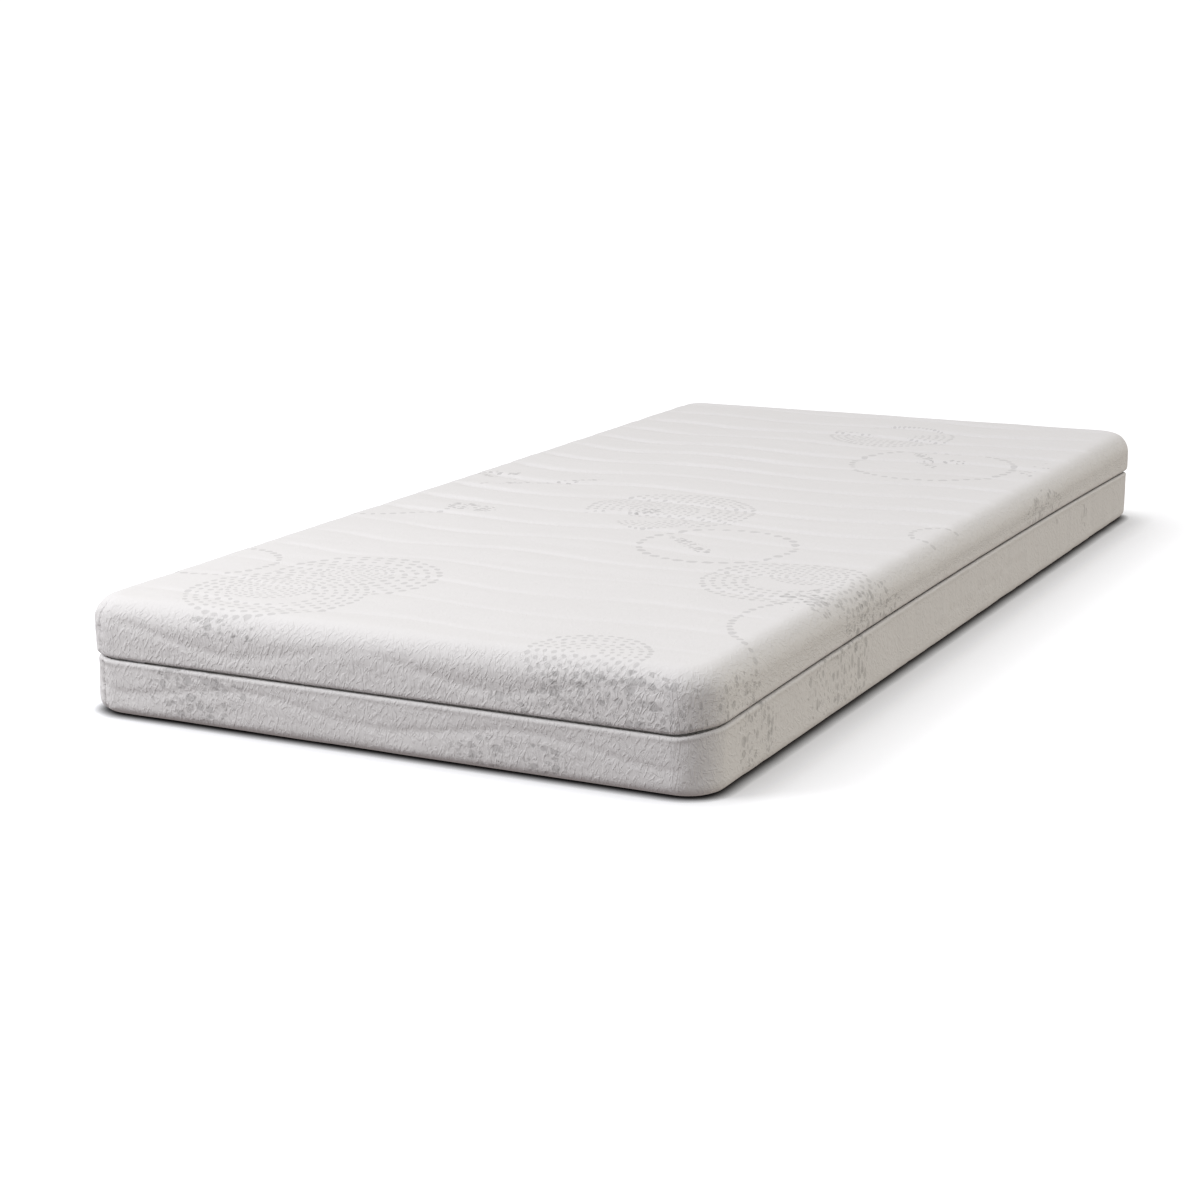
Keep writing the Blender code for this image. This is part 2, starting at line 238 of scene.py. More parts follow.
def make_world():
    """Even studio light: brightest overhead, dim below and towards the foot-right corner, with a warm
    panel towards +X; white to the camera."""
    world = bpy.data.worlds.new("studio")
    bpy.context.scene.world = world
    world.use_nodes = True
    n = Nodes(world.node_tree)
    way = n.add("ShaderNodeTexCoord").outputs["Generated"]
    _, _, z = n.split(way)
    sky = n.math("MULTIPLY_ADD", n.math("MAXIMUM", z, 0.0), 0.34, 0.51)
    even = n.mix(n.math("LESS_THAN", z, 0.0), sky, 0.21, kind="FLOAT")
    gap = n.vector("DOT_PRODUCT", way, (0.707, -0.707, 0), out=1)
    gap = n.math("POWER", n.math("MAXIMUM", gap, 0.0), 4.0)
    even = n.math("MULTIPLY", even, n.math("MULTIPLY_ADD", gap, -0.50, 1.0))
    towards = math.radians(32)
    panel = n.vector("DOT_PRODUCT", way, (math.cos(towards), math.sin(towards), 0), out=1)
    panel = n.math("MULTIPLY", n.math("POWER", n.math("MAXIMUM", panel, 0.0), 4.0), 0.50)
    rosy = n.mix(n.math("LESS_THAN", z, 0.0), (1.015, 0.992, 0.992, 1), (1.12, 0.96, 0.96, 1))
    cool = n.vector("SCALE", rosy, scale=even)
    warm = n.vector("SCALE", (1.12, 1.02, 0.68), scale=panel)
    light = n.add("ShaderNodeBackground")
    n.plug(light.inputs["Color"], n.vector("ADD", cool, warm))
    white = n.add("ShaderNodeBackground")
    white.inputs["Strength"].default_value = 1.1
    white.inputs["Color"].default_value = (1, 1, 1, 1)
    pick = n.add("ShaderNodeMixShader")
    n.plug(pick.inputs[0], n.add("ShaderNodeLightPath").outputs["Is Camera Ray"])
    n.plug(pick.inputs[1], light.outputs[0])
    n.plug(pick.inputs[2], white.outputs[0])
    n.plug(n.add("ShaderNodeOutputWorld").inputs["Surface"], pick.outputs[0])


def make_key_light():
    data = bpy.data.lights.new("key", "AREA")
    data.shape = "DISK"
    data.size = 1.6
    data.energy = 61
    data.color = (1.0, 0.995, 1.005)
    item = bpy.data.objects.new("key", data)
    bpy.context.scene.collection.objects.link(item)
    item.location = KEY_PLACE
    aim = Vector((0, 0, 0.1)) - item.location
    item.rotation_euler = aim.to_track_quat("-Z", "Y").to_euler()


def make_floor():
    """A white sweep that glows a little and sends no light back. Ambient occlusion darkens its colour
    and glow near the mattress as a painted contact shadow, and darkens the glow more near the +X side as a
    painted shadow."""
    reach = 60
    mesh = bpy.data.meshes.new("floor")
    corners = [(-reach, -reach, 0), (reach, -reach, 0), (reach, reach, 0), (-reach, reach, 0)]
    mesh.from_pydata(corners, [], [(0, 1, 2, 3)])
    floor = bpy.data.objects.new("floor", mesh)
    bpy.context.scene.collection.objects.link(floor)
    floor.location.z = -0.0005
    material = bpy.data.materials.new("floor")
    material.use_nodes = True
    n = Nodes(material.node_tree)
    shader = n.add("ShaderNodeBsdfPrincipled")
    shader.inputs["Roughness"].default_value = 1.0
    shader.inputs["Specular IOR Level"].default_value = 0.0
    contact = n.add("ShaderNodeAmbientOcclusion")
    contact.inputs["Distance"].default_value = 0.016
    # Painted contact shadow: ambient occlusion next to the mattress darkens the floor's colour and its glow.
    painted_contact_shade = n.math("POWER", contact.outputs["AO"], 1.4)
    n.plug(shader.inputs["Base Color"], n.vector("SCALE", (0.745, 0.76, 0.785), scale=painted_contact_shade))
    near, wide = (n.add("ShaderNodeAmbientOcclusion") for _ in range(2))
    near.inputs["Distance"].default_value = 0.06
    wide.inputs["Distance"].default_value = 0.24
    x, _, _ = n.split(n.add("ShaderNodeNewGeometry").outputs["Position"])
    # Painted shadow: from x = 0.40 on, the wide occlusion darkens the glow beside the mattress's +X side.
    shaded = n.math("POWER", wide.outputs["AO"], n.ramp(x, 0.40, 0.50, 0.0, 1.7))
    glow = n.math("MULTIPLY", n.math("POWER", near.outputs["AO"], 1.8), n.math("MULTIPLY", shaded, 0.56))
    n.plug(shader.inputs["Emission Color"], (1, 1, 1, 1))
    n.plug(shader.inputs["Emission Strength"], n.math("MULTIPLY", glow, painted_contact_shade))
    n.plug(n.add("ShaderNodeOutputMaterial").inputs["Surface"], shader.outputs[0])
    floor.data.materials.append(material)
    floor.visible_diffuse = False
    floor.visible_glossy = False


# ---------------------------------------------------------------- meshes
def new_piece(name, points, faces, uv=None):
    """An object from points and faces, shaded smooth; uv holds one cloth coordinate for each point."""
    mesh = bpy.data.meshes.new(name)
    mesh.from_pydata([tuple(p) for p in points], [], faces)
    mesh.shade_smooth()
    if uv is not None:
        layer = mesh.uv_layers.new(name="cloth")
        index = np.zeros(len(mesh.loops), int)
        mesh.loops.foreach_get("vertex_index", index)
        layer.data.foreach_set("uv", np.asarray(uv, np.float32)[index].ravel())
    item = bpy.data.objects.new(name, mesh)
    bpy.context.scene.collection.objects.link(item)
    return item


def lattice_noise(u, v, size_u, size_v, seed):
    """Smooth noise from -1 to 1 on a seeded lattice with cells of the given size."""
    table = np.random.default_rng(seed).uniform(-1, 1, (97, 89))
    x, y = u / size_u + 40.3, v / size_v + 40.7
    i, j = np.floor(x).astype(int), np.floor(y).astype(int)
    fx, fy = x - i, y - j
    fx, fy = fx * fx * (3 - 2 * fx), fy * fy * (3 - 2 * fy)

    def at(a, b):
        return table[a % 97, b % 89]

    low = at(i, j) * (1 - fx) + at(i + 1, j) * fx
    high = at(i, j + 1) * (1 - fx) + at(i + 1, j + 1) * fx
    return low * (1 - fy) + high * fy


def outline(columns, rows, corner_steps):
    """Points round the rim of the panel's grid, the outward normal and the grid index (i, j) of
    each. A corner repeats its point while the normal turns."""
    half_x, half_y = WIDTH / 2 - CORNER_RADIUS, LENGTH / 2 - CORNER_RADIUS
    xs = np.linspace(-half_x, half_x, columns + 1)
    ys = np.linspace(-half_y, half_y, rows + 1)
    stations = []

    def side(cells, normal):
        for i, j in cells:
            stations.append(((xs[i], ys[j]), normal, (i, j)))

    def corner(i, j, start):
        for k in range(1, corner_steps):
            turn = math.radians(start + 90 * k / corner_steps)
            stations.append(((xs[i], ys[j]), (math.cos(turn), math.sin(turn)), (i, j)))

    side([(i, 0) for i in range(columns + 1)], (0, -1))
    corner(columns, 0, -90)
    side([(columns, j) for j in range(rows + 1)], (1, 0))
    corner(columns, rows, 0)
    side([(i, rows) for i in range(columns, -1, -1)], (0, 1))
    corner(0, rows, 90)
    side([(0, j) for j in range(rows, -1, -1)], (-1, 0))
    corner(0, 0, 180)
    centres, normals, cells = (np.array(part) for part in zip(*stations))
    return xs, ys, centres, normals, cells


def arc(centre, radius, start, stop, steps):
    """(inset, height, direction) along an arc. The direction, in degrees, is 180 outwards, 90 up."""
    return [
        (
            centre[0] + radius * math.cos(math.radians(a)),
            centre[1] + radius * math.sin(math.radians(a)),
            a,
        )
        for a in np.linspace(start, stop, steps + 1)
    ]


def edge_arc(offset, up, steps):
    """The rounded edge between panel and side, for a layer at a depth under the surface."""
    radius = max(EDGE_RADIUS[up] - offset, MIN_RADIUS)
    return arc((offset + radius, HALF - offset - radius), radius, 90, 180, steps)


def wall(one, two, steps, direction=180):
    """Points between two profile points, ends left out."""
    return [
        (one[0] + (two[0] - one[0]) * k / steps, one[1] + (two[1] - one[1]) * k / steps, direction)
        for k in range(1, steps)
    ]


def lip_arc(offset, steps):
    return arc((LIP_RADIUS, GROOVE / 2 + LIP_RADIUS), LIP_RADIUS - offset, 180, 360, steps)


def face_profile(up, edge_steps, side_steps, lip_steps):
    """The outer fabric of one half from the panel's rim, round the lip, to the turned hem. The lower
    half's side stands a little further in than the upper one's."""
    edge, lip = edge_arc(0, up, edge_steps), lip_arc(0, lip_steps)
    outer = edge + wall(edge[-1], lip[0], side_steps) + lip
    step = 0 if up > 0 else LOWER_STEP
    drawn = [(i + step * max(0, 1 - max(0, a - 180) / 60), h, a) for i, h, a in outer]
    return drawn + [(QUILT, HEM_TOP, 360)]


def wadding_profile(up):
    """A closed section of the soft layer between face and lining."""
    edge, lip = edge_arc(WADDING_TOP, up, 5), lip_arc(WADDING_TOP, 6)
    inner = [(i, h, 0) for i, h, _ in edge_arc(WADDING_BASE, up, 4)[::-1]]
    return edge + wall(edge[-1], lip[0], 3) + lip + inner


def lining_profile(up):
    edge = edge_arc(LINING_DEPTH, up, 7)
    foot = (LINING_DEPTH, HEM_TOP, 180)
    return edge + wall(edge[-1], foot, 6) + [foot]


def cover_level(up):
    return lambda x, y, height: height_at(x, y, height, up)


def flat_level(x, y, height):
    return height + 0 * x


def stations_at(centres, normals, profile, level, up):
    """Points, cloth coordinates, facings and relief weights of profile rings, ring by ring."""
    rings = []
    travelled, before = 0.0, (CORNER_RADIUS, profile[0][1])
    for inset, height, angle in profile:
        travelled += math.dist(before, (inset, height))
        before = (inset, height)
        plan = centres + normals * (CORNER_RADIUS - inset)
        z = level(plan[:, 0], plan[:, 1], height)
        out, rise = -math.cos(math.radians(angle)), up * math.sin(math.radians(angle))
        facing = np.column_stack([normals * out, np.full(len(plan), rise)])
        fade = 1.0 if angle <= 180 else max(0.0, 1 - (angle - 180) / LIP_FADE)
        cloth = centres + normals * travelled
        rings.append((np.column_stack([plan, z]), cloth, facing, np.full(len(plan), fade)))
    return rings


def shell(profile, up, level, relief=None, closed=False, columns=30, rows=64, corner_steps=8):
    """Points, faces and cloth coordinates of a cup: a panel grid, then rings from its rim down the
    profile, and for a closed piece a second panel at the profile's end."""
    xs, ys, centres, normals, cells = outline(columns, rows, corner_steps)
    gx, gy = np.meshgrid(xs, ys, indexing="ij")
    grid = np.arange(gx.size).reshape(gx.shape)

    def panel(height):
        points = np.column_stack([gx.ravel(), gy.ravel(), level(gx.ravel(), gy.ravel(), height)])
        facing = np.tile((0.0, 0.0, float(up)), (gx.size, 1))
        return points, np.column_stack([gx.ravel(), gy.ravel()]), facing, np.ones(gx.size)

    def margin(end):
        inset, height, _ = end
        return wall((CORNER_RADIUS, height), (inset, height), 3, 90)

    full = margin(profile[0]) + list(profile)
    if closed:
        full += margin(profile[-1])[::-1]
    parts = [panel(profile[0][1])] + stations_at(centres, normals, full, level, up)
    count = len(centres)
    loops = [grid[cells[:, 0], cells[:, 1]]]
    loops += [np.arange(count) + grid.size + count * k for k in range(len(full))]
    if closed:
        parts.append(panel(profile[-1][1]))
        second = grid + grid.size + count * len(full)
        loops.append(second[cells[:, 0], cells[:, 1]])
    points, cloth, facing, weight = (np.concatenate(part) for part in zip(*parts))
    if relief is not None:
        points = points + facing * (relief(cloth, points, facing) * weight)[:, None]

    def panel_faces(ids):
        corners = (ids[:-1, :-1], ids[1:, :-1], ids[1:, 1:], ids[:-1, 1:])
        return np.stack([c.ravel() for c in corners], 1).tolist()

    faces = panel_faces(grid)
    if closed:
        faces += [f[::-1] for f in panel_faces(second)]
    for one, two in zip(loops, loops[1:]):
        quads = np.stack([one, two, np.roll(two, -1), np.roll(one, -1)], 1).tolist()
        faces += [list(dict.fromkeys(q)) for q in quads if len(set(q)) > 2]
    if up < 0:
        faces = [f[::-1] for f in faces]
    return points, faces, cloth


def band(section, up, columns=60, rows=120, corner_steps=8):
    """A closed strip round the outline from (inset, height) points: its points, faces and
    coordinates along and across it."""
    _, _, centres, normals, _ = outline(columns, rows, corner_steps)
    plan = centres + normals * (CORNER_RADIUS - section[0][0])
    along = np.concatenate([[0], np.cumsum(np.linalg.norm(np.diff(plan, axis=0), axis=1))])
    count, across = len(centres), 0.0
    points, cloth, faces = [], [], []
    for k, (inset, height) in enumerate(section):
        across += math.dist(section[k - 1], section[k]) if k else 0.0
        ring = centres + normals * (CORNER_RADIUS - inset)
        points.append(np.column_stack([ring, height_at(ring[:, 0], ring[:, 1], height, up)]))
        cloth.append(np.column_stack([along, np.full(count, across)]))
        one = np.arange(count) + count * k
        two = np.arange(count) + count * ((k + 1) % len(section))
        faces += np.stack([one, two, np.roll(two, -1), np.roll(one, -1)], 1)[:, ::-up].tolist()
    return np.concatenate(points), faces, np.concatenate(cloth)


make_camera()
make_world()
make_key_light()
make_floor()


# ---------------------------------------------------------------- quilting relief
STITCH_PITCH = 0.104
STITCH_START = {1: -0.978, -1: -0.987}
WAVE_LENGTH = {1: 0.375, -1: 0.400}
WAVE_LOW_U = {1: -0.215, -1: -0.195}


def stitch_offset(cloth, up):
    """The signed distance, along the cloth, from the nearest quilting line. The line on the foot face
    is a plain wave, and those over the panel drift out of step with it."""
    u, v = cloth[:, 0], cloth[:, 1]
    past_foot = np.clip((v + 0.93) / 0.15, 0, 1)
    turn = 2 * np.pi * (u - WAVE_LOW_U[up]) / WAVE_LENGTH[up]
    turn = turn + past_foot * 2.4 * lattice_noise(u, v, 0.45, 0.35, 8)
    swing = 0.0120 + past_foot * 0.004 * lattice_noise(u, v, 0.7, 0.3, 6)
    away = (v + swing * np.cos(turn) - STITCH_START[up]) / STITCH_PITCH
    return (away - np.round(away)) * STITCH_PITCH


def seam_frame(corner_x, corner_y):
    """Corner centre, outward normal and direction across a corner seam, in plan."""
    centre = np.array((corner_x * (WIDTH / 2 - CORNER_RADIUS), corner_y * (LENGTH / 2 - CORNER_RADIUS)))
    outward = np.array((corner_x * math.cos(SEAM_ANGLE), corner_y * math.sin(SEAM_ANGLE)))
    return centre, outward, np.array((-outward[1], outward[0]))


def corner_distance(points):
    """How far along the outline a point is from the nearest corner seam, signed; 1 if far away."""
    nearest = np.ones(len(points))
    for corner in SEAM_CORNERS.values():
        centre, outward, across = seam_frame(*corner)
        away = points[:, :2] - centre
        here = np.where(away @ outward > 0.012, away @ across, 1.0)
        nearest = np.where(np.abs(here) < np.abs(nearest), here, nearest)
    return nearest


def face_relief(up):
    """How far the outer fabric stands off its plain surface: stitched valleys between soft puffs,
    wrinkles that run across the width, and the crease and puckers of the corner seams."""

    def relief(cloth, points, facing):
        u, v = cloth[:, 0], cloth[:, 1]
        steep = 1 - np.abs(facing[:, 2])
        flat = 1 - steep
        on_end = steep * np.abs(facing[:, 1])
        on_long_side = steep * np.abs(facing[:, 0])
        d = stitch_offset(cloth, up)
        width = np.where(d > 0, 0.0042 + 0.0030 * steep, 0.0035 + 0.0145 * flat**3)
        depth = (0.0032 - 0.0017 * on_end - 0.0026 * on_long_side) * stitch_pull(cloth)
        total = -depth * np.exp(-np.abs(d / width) ** 1.5) * rim_share(points)
        total += (0.0007 * flat * rim_share(points) + 0.0002) * lattice_noise(u, v, 0.21, 0.034, 11)
        total += (0.0003 + 0.0002 * steep) * lattice_noise(u, v, 0.050, 0.018, 12)
        total += 0.0005 * rim_share(points) * lattice_noise(u, v, 0.30, 0.25, 13)
        total += 0.0006 * on_long_side * lattice_noise(u, v, 0.050, 0.035, 15)
        seam = corner_distance(points)
        on_side = np.clip(steep * 1.6, 0, 1)
        total -= 0.0042 * np.exp(-np.abs(seam / 0.0026) ** 1.5) * on_side
        total += 0.0014 * np.exp(-(((seam + 0.018) / 0.011) ** 2)) * on_side
        pucker = np.sin(2 * np.pi * (v + 0.4 * u) / 0.015 + 3 * lattice_noise(u, v, 0.03, 0.03, 14))
        total += 0.0008 * np.exp(-np.abs(seam) / 0.016) * pucker * on_side
        if up < 0:
            total += side_crease(points, on_long_side)
            total = np.where(facing[:, 2] < -0.5, np.minimum(total, 0), total)
        return np.clip(total - 0.0008, -DEEPEST, None)

    return relief


def wadding_relief(up):
    """The wadding's outer side lies along the outer fabric; its inner side is plain."""
    over = face_relief(up)
    middle = HALF - (WADDING_TOP + WADDING_BASE) / 2

    def relief(cloth, points, facing):
        from_middle = points - (0, 0, HALF)
        outer = (facing * from_middle).sum(axis=1) > 0
        inner_panel = (np.abs(facing[:, 2]) > 0.9) & (np.abs(from_middle[:, 2]) < middle)
        return np.where(outer & ~inner_panel, over(cloth, points, facing), 0)

    return relief


def stitch_pull(cloth):
    """How tightly the quilting draws the cloth in: loose near the foot end of the panel."""
    u, v = cloth[:, 0], cloth[:, 1]
    by_place = np.interp(v, (-0.95, -0.90, -0.55, -0.15), (1.0, 0.45, 0.60, 1.15))
    return by_place * np.clip(1 + 0.5 * lattice_noise(u, v, 0.16, 0.09, 16), 0.3, 1.4)


def rim_share(points):
    """The share of the panel's relief that is left towards the long edges, which stay straight."""
    return np.interp(np.abs(points[:, 0]), (0.385, 0.430), (1.0, 0.12))


def side_crease(points, on_long_side):
    """A long slack fold that climbs the lower half's +X side towards the head end."""
    x, y, z = points.T
    share = np.clip((y + 0.145) / 0.435, 0, 1)
    line = 0.040 + 0.020 * share
    fades = np.clip((y + 0.20) / 0.10, 0, 1) * np.clip((0.34 - y) / 0.10, 0, 1) * (x > 0)
    away = (z - line) / 0.0035
    return on_long_side * fades * 0.0012 * np.where(away > 0, np.exp(-(away**2)), -np.exp(-(away**2)))


def lining_relief(up):
    """The lining is drawn out into the wadding along the quilting lines."""
    return lambda cloth, points, facing: 0.0013 * np.exp(-((stitch_offset(cloth, up) / 0.006) ** 2))


# ---------------------------------------------------------------- materials
def new_material(name, roughness=0.95, specular=0.15):
    """A material with its tree helper, its shader and its cloth coordinates."""
    material = bpy.data.materials.new(name)
    material.use_nodes = True
    n = Nodes(material.node_tree)
    shader = n.add("ShaderNodeBsdfPrincipled")
    shader.inputs["Roughness"].default_value = roughness
    shader.inputs["Specular IOR Level"].default_value = specular
    n.plug(n.add("ShaderNodeOutputMaterial").inputs["Surface"], shader.outputs[0])
    return material, n, shader


# Woven circles of dashes: centre u and v, outer radius, radius of the innermost ring, distance
# between rings, distance between dashes, and the window: the direction in degrees from the centre
# and the cosine of the widest angle from it that shows.
ALL_ROUND = (0, -1)
UPPER_CIRCLES = [
    (-0.410, -0.690, 0.082, 0.080, 0.0170, 0.0150, *ALL_ROUND),
    (-0.188, -0.690, 0.112, 0.052, 0.0155, 0.0195, *ALL_ROUND),
    (-0.228, -0.820, 0.118, 0.064, 0.0135, 0.0160, *ALL_ROUND),
    (-0.195, -0.675, 0.048, 0.012, 0.0100, 0.0110, *ALL_ROUND),
    (-0.250, -0.800, 0.056, 0.010, 0.0095, 0.0115, *ALL_ROUND),
    (0.002, -0.100, 0.127, 0.062, 0.0125, 0.0135, 75, -0.62),
    (-0.006, -0.105, 0.052, 0.014, 0.0100, 0.0115, *ALL_ROUND),
    (0.012, -0.185, 0.050, 0.012, 0.0100, 0.0110, -60, -0.20),
    (0.170, -0.302, 0.111, 0.108, 0.0200, 0.0215, *ALL_ROUND),
    (0.525, -0.670, 0.161, 0.158, 0.0160, 0.0160, 180, 0.10),
    (0.348, -0.474, 0.114, 0.054, 0.0140, 0.0145, *ALL_ROUND),
    (0.360, -0.430, 0.050, 0.012, 0.0100, 0.0105, *ALL_ROUND),
    (0.275, -0.915, 0.074, 0.018, 0.0112, 0.0130, *ALL_ROUND),
    (0.070, 0.697, 0.107, 0.040, 0.0125, 0.0120, -80, -0.35),
    (0.070, 0.700, 0.109, 0.106, 0.0120, 0.0090, 35, 0.25),
    (0.235, 0.443, 0.135, 0.132, 0.0200, 0.0200, *ALL_ROUND),
    (0.440, -0.095, 0.052, 0.050, 0.0160, 0.0150, 180, -0.20),
    (-0.455, -0.180, 0.150, 0.148, 0.0150, 0.0150, -52, 0.80),
]
LOWER_CIRCLES = [
    (0.210, -0.640, 0.112, 0.062, 0.0165, 0.0200, *ALL_ROUND),
    (0.215, -0.625, 0.042, 0.020, 0.0110, 0.0120, *ALL_ROUND),
    (-0.150, -0.320, 0.111, 0.108, 0.0200, 0.0215, *ALL_ROUND),
    (0.020, 0.080, 0.127, 0.080, 0.0140, 0.0145, *ALL_ROUND),
    (-0.240, 0.420, 0.135, 0.132, 0.0200, 0.0200, *ALL_ROUND),
    (0.180, 0.640, 0.114, 0.068, 0.0155, 0.0155, *ALL_ROUND),
]
# Patches of woven pebbles: centre u and v, half sizes, turn in degrees and strength.
UPPER_PEBBLES = [
    (-0.226, -0.955, 0.070, 0.018, 0, 1.6),
    (0.312, -0.985, 0.160, 0.046, 4, 1.5),
    (0.430, -0.985, 0.060, 0.040, 20, 1.2),
    (0.488, -0.880, 0.040, 0.085, 0, 1.5),
    (0.485, -0.425, 0.048, 0.120, 0, 2.2),
    (0.488, 0.372, 0.042, 0.115, 0, 1.8),
    (0.415, -0.555, 0.060, 0.075, 0, 0.8),
]
LOWER_PEBBLES = [
    (-0.268, -0.990, 0.084, 0.044, 0, 2.4),
    (0.190, -0.966, 0.090, 0.024, 0, 2.2),
    (0.485, -0.810, 0.042, 0.070, 0, 1.6),
    (0.487, -0.565, 0.045, 0.085, 0, 1.5),
    (0.487, -0.475, 0.046, 0.045, -30, 3.2),
    (0.500, 0.450, 0.012, 0.022, 0, 0.9),
    (0.490, 0.630, 0.022, 0.022, 0, 0.8),
]
# Leaves and feathers of fine strokes, given in the same way.
UPPER_LEAVES = [
    (-0.287, -0.206, 0.050, 0.026, -12, 2.0),
    (0.131, -0.312, 0.070, 0.016, -40, 2.2),
    (-0.290, 0.030, 0.112, 0.011, 35, 2.2),
    (-0.385, 0.062, 0.055, 0.040, 0, 0.4),
    (0.206, 0.487, 0.090, 0.016, -63, 1.6),
    (0.255, 0.490, 0.030, 0.022, 0, 0.5),
    (-0.025, -0.115, 0.030, 0.016, 25, 1.2),
    (0.402, 0.470, 0.024, 0.085, 0, 0.35),
    (0.015, 0.775, 0.006, 0.020, 0, 0.9),
]
LOWER_LEAVES = [(-0.170, -0.335, 0.078, 0.017, -36, 1.3), (0.300, 0.250, 0.060, 0.026, 20, 1.2)]


def circle_dots(n, cloth, circles):
    """The dashes of the circle that a place belongs to: the last one listed that reaches it."""
    covered, place, rings = 0.0, (0, 0, 1), (0, 1, 1)
    for u, v, radius, inner, pitch, spacing, turn, spread in circles:
        aim = math.radians(turn)
        away = n.vector("SUBTRACT", cloth, (u, v, 0))
        far = n.vector("LENGTH", away, out=1)
        ahead = n.vector("DOT_PRODUCT", away, (math.cos(aim), math.sin(aim), 0), out=1)
        seen = n.math("GREATER_THAN", ahead, n.math("MULTIPLY", far, spread))
        near = n.math("LESS_THAN", far, radius + 0.5 * pitch)
        beyond_hole = n.math("GREATER_THAN", far, inner - 0.5 * pitch)
        closer = n.math("MULTIPLY", n.math("MULTIPLY", seen, near), beyond_hole)
        covered = n.math("MAXIMUM", covered, closer)
        place = n.mix(closer, place, (u, v, radius), kind="VECTOR")
        rings = n.mix(closer, rings, (inner, pitch, spacing), kind="VECTOR")
    x, y, _ = n.split(cloth)
    cx, cy, radius = n.split(place)
    _, pitch, spacing = n.split(rings)
    dx, dy = n.math("SUBTRACT", x, cx), n.math("SUBTRACT", y, cy)
    away = n.math("SQRT", n.math("ADD", n.math("MULTIPLY", dx, dx), n.math("MULTIPLY", dy, dy)))
    ring = n.math("ROUND", n.math("DIVIDE", n.math("SUBTRACT", radius, away), pitch))
    at = n.math("SUBTRACT", radius, n.math("MULTIPLY", ring, pitch))
    count = n.math("ROUND", n.math("DIVIDE", n.math("MULTIPLY", at, 2 * math.pi), spacing))
    turn = n.math("DIVIDE", n.math("ARCTAN2", dy, dx), 2 * math.pi)
    step = n.math("MULTIPLY_ADD", turn, count, n.math("MULTIPLY", ring, 0.5))
    cell = n.math("FLOOR", step)
    chance = n.add("ShaderNodeTexWhiteNoise", noise_dimensions="3D")
    n.plug(chance.inputs["Vector"], n.join(cell, ring, radius))
    size = n.math("MULTIPLY_ADD", chance.outputs["Value"], 0.35, 0.78)
    size = n.math("MULTIPLY", size, n.ramp(ring, 0.0, 1.0, 1.0, 0.86, smooth=False))
    along = n.math("SUBTRACT", n.math("SUBTRACT", step, cell), 0.5)
    along = n.math("DIVIDE", along, n.math("MULTIPLY", size, 0.34))
    across = n.math("DIVIDE", n.math("SUBTRACT", away, at), pitch)
    across = n.math("DIVIDE", across, n.math("MULTIPLY", size, 0.30))
    reach = n.math("ADD", n.math("MULTIPLY", along, along), n.math("MULTIPLY", across, across))
    dash = n.ramp(reach, 0.70, 1.30, 1.0, 0.0)
    return n.math("MULTIPLY", dash, covered)


def patch_mask(n, cloth, patches):
    """Above 0 inside any of the patches, up to its strength in the middle."""
    mask = 0.0
    for u, v, half_u, half_v, turn, strength in patches:
        local = n.add("ShaderNodeMapping", vector_type="TEXTURE")
        n.plug(local.inputs["Vector"], cloth)
        local.inputs["Location"].default_value = (u, v, 0)
        local.inputs["Rotation"].default_value = (0, 0, math.radians(turn))
        local.inputs["Scale"].default_value = (half_u, half_v, 1)
        far = n.vector("DOT_PRODUCT", local.outputs[0], local.outputs[0], out=1)
        mask = n.math("MAXIMUM", mask, n.math("MULTIPLY", n.math("SUBTRACT", 1.0, far), strength))
    return mask


def scattered(n, cloth, mask, scale, smallest, largest):
    """Irregular spots, one to a cell, thinning out towards the rim of the mask."""
    cells = n.cells(n.vector("MULTIPLY", cloth, (*scale, 1)), 1.0, 0.70)
    pick, size, _ = n.split(cells.outputs["Color"])
    radius = n.math("MULTIPLY_ADD", size, largest - smallest, smallest)
    spot = n.ramp(n.math("SUBTRACT", radius, cells.outputs["Distance"]), -0.05, 0.07)
    present = n.math("GREATER_THAN", mask, n.math("MULTIPLY_ADD", pick, 0.75, 0.05))
    return n.math("MULTIPLY", spot, present)


